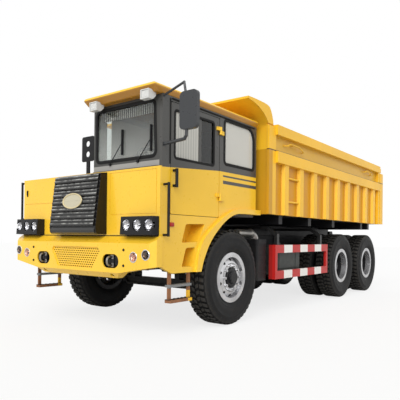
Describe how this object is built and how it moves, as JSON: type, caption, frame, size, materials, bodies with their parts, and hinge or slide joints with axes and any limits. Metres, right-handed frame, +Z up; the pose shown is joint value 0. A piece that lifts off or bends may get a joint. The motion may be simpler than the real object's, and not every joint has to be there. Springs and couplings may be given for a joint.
{
  "type": "underground mining truck",
  "caption": "Low rigid tandem dump truck for mine tunnels: offset cab over the front wheels, flat nose with ribbed grille, ribbed tipping body with a forward canopy",
  "frame": {"origin": "on the ground below the middle of the front axle", "axes": "+X forward, +Y to the driver's left, +Z up"},
  "size_m": [6.896, 3.012, 2.767],
  "materials": {
    "yellow_paint": "gloss",
    "black_paint": "satin",
    "grey_paint": "satin",
    "black_plastic": "matte",
    "lens": "clear",
    "window_glass": "clear",
    "tyre_rubber": "matte",
    "silver_paint": "satin",
    "cast_engine": "rough",
    "seat_cloth": "matte",
    "brown_rubber": "matte",
    "red_paint": "gloss",
    "tank_paint": "satin",
    "pipe_steel": "satin",
    "rod_chrome": "polished"
  },
  "bodies": {
    "chassis": {"chassis_frame": "black_paint", "tow_lugs": "yellow_paint", "engine_block": "cast_engine", "front_bumper": "yellow_paint", "bumper_grille": "yellow_paint", "nose_panel": "yellow_paint", "radiator_grille": "black_plastic", "lamp_housings": "black_plastic", "lamp_lenses": "lens", "front_fenders": "yellow_paint", "engine_hood": "yellow_paint", "cab_frame": "grey_paint", "cab_left_side": "grey_paint", "cab_front": "grey_paint", "cab_roof": "yellow_paint", "cab_glass": "window_glass", "left_mirror": "black_paint", "grab_rails": "black_paint", "wipers": "black_paint", "dashboard": "black_plastic", "driver_seat": "seat_cloth", "access_ladders": "brown_rubber", "side_guards": "red_paint", "battery_box": "black_paint", "fuel_tank": "tank_paint", "exhaust": "pipe_steel", "front_axle": "black_paint", "front_springs": "black_paint", "rear_axles": "black_paint", "rear_springs": "black_paint", "propeller_shafts": "black_paint", "deck_guard": "black_paint"},
    "door": {"cab_door": "yellow_paint", "door_glass": "window_glass", "door_handle": "black_paint"},
    "left_steer": {"left_knuckle": "black_paint"},
    "right_steer": {"right_knuckle": "black_paint"},
    "track_rod": {"tie_rod": "black_paint"},
    "front_left_roller": {"front_left_tyre": "tyre_rubber", "front_left_wheel": "silver_paint"},
    "front_right_roller": {"front_right_tyre": "tyre_rubber", "front_right_wheel": "silver_paint"},
    "mid_left_roller": {"mid_left_tyres": "tyre_rubber", "mid_left_wheels": "silver_paint"},
    "mid_right_roller": {"mid_right_tyres": "tyre_rubber", "mid_right_wheels": "silver_paint"},
    "rear_left_roller": {"rear_left_tyres": "tyre_rubber", "rear_left_wheels": "silver_paint"},
    "rear_right_roller": {"rear_right_tyres": "tyre_rubber", "rear_right_wheels": "silver_paint"},
    "bed": {"bed_floor": "yellow_paint", "bed_sides": "yellow_paint", "bed_front_wall": "yellow_paint"},
    "gate": {"tailgate": "yellow_paint"},
    "hoist_base": {"hoist_barrels": "black_paint"},
    "hoist_ram": {"hoist_rods": "rod_chrome"}
  },
  "joints": [
    {"name": "steer_left", "type": "hinge", "parent": "chassis", "child": "left_steer", "pos_m": [0, 0.88, 0.5625], "axis": [0, 0, 1], "range_deg": [-32, 32]},
    {"name": "steer_right", "type": "hinge", "parent": "chassis", "child": "right_steer", "pos_m": [0, -0.88, 0.5625], "axis": [0, 0, 1], "range_deg": [-32, 32]},
    {"name": "track_rod_swing", "type": "hinge", "parent": "left_steer", "child": "track_rod", "pos_m": [-0.22, 0.88, 0.4], "axis": [0, 0, -1], "range_deg": [-32, 32]},
    {"name": "roll_front_left", "type": "hinge", "parent": "left_steer", "child": "front_left_roller", "pos_m": [0, 1.075, 0.5625], "axis": [0, 1, 0], "continuous": true},
    {"name": "roll_front_right", "type": "hinge", "parent": "right_steer", "child": "front_right_roller", "pos_m": [0, -1.075, 0.5625], "axis": [0, 1, 0], "continuous": true},
    {"name": "roll_mid_left", "type": "hinge", "parent": "chassis", "child": "mid_left_roller", "pos_m": [-3.515, 0.895, 0.5625], "axis": [0, 1, 0], "continuous": true},
    {"name": "roll_mid_right", "type": "hinge", "parent": "chassis", "child": "mid_right_roller", "pos_m": [-3.515, -0.895, 0.5625], "axis": [0, 1, 0], "continuous": true},
    {"name": "roll_rear_left", "type": "hinge", "parent": "chassis", "child": "rear_left_roller", "pos_m": [-4.865, 0.895, 0.5625], "axis": [0, 1, 0], "continuous": true},
    {"name": "roll_rear_right", "type": "hinge", "parent": "chassis", "child": "rear_right_roller", "pos_m": [-4.865, -0.895, 0.5625], "axis": [0, 1, 0], "continuous": true},
    {"name": "door_swing", "type": "hinge", "parent": "chassis", "child": "door", "pos_m": [0.257, 1.202, 1.9], "axis": [0, 0, 1], "range_deg": [0, 80]},
    {"name": "bed_tip", "type": "hinge", "parent": "chassis", "child": "bed", "pos_m": [-5, 0, 1.13], "axis": [0, -1, 0], "range_deg": [0, 45]},
    {"name": "gate_swing", "type": "hinge", "parent": "bed", "child": "gate", "pos_m": [-5.275, 0, 2.455], "axis": [0, 1, 0], "range_deg": [0, 60]},
    {"name": "hoist_swing", "type": "hinge", "parent": "chassis", "child": "hoist_base", "pos_m": [-2.45, 0, 0.72], "axis": [0, 1, 0], "range_deg": [0, 17.43]},
    {"name": "hoist_extend", "type": "slide", "parent": "hoist_base", "child": "hoist_ram", "axis": [-0.9587, 0, 0.2843], "range_m": [0, 0.6408]}
  ],
  "couplings": [
    {"joint": "steer_right", "follows": "steer_left", "ratio": 1},
    {"joint": "track_rod_swing", "follows": "steer_left", "ratio": 1},
    {"joint": "hoist_swing", "follows": "bed_tip", "ratio": 0.38706},
    {"joint": "hoist_extend", "follows": "bed_tip", "m_per_rad": 0.81569}
  ]
}
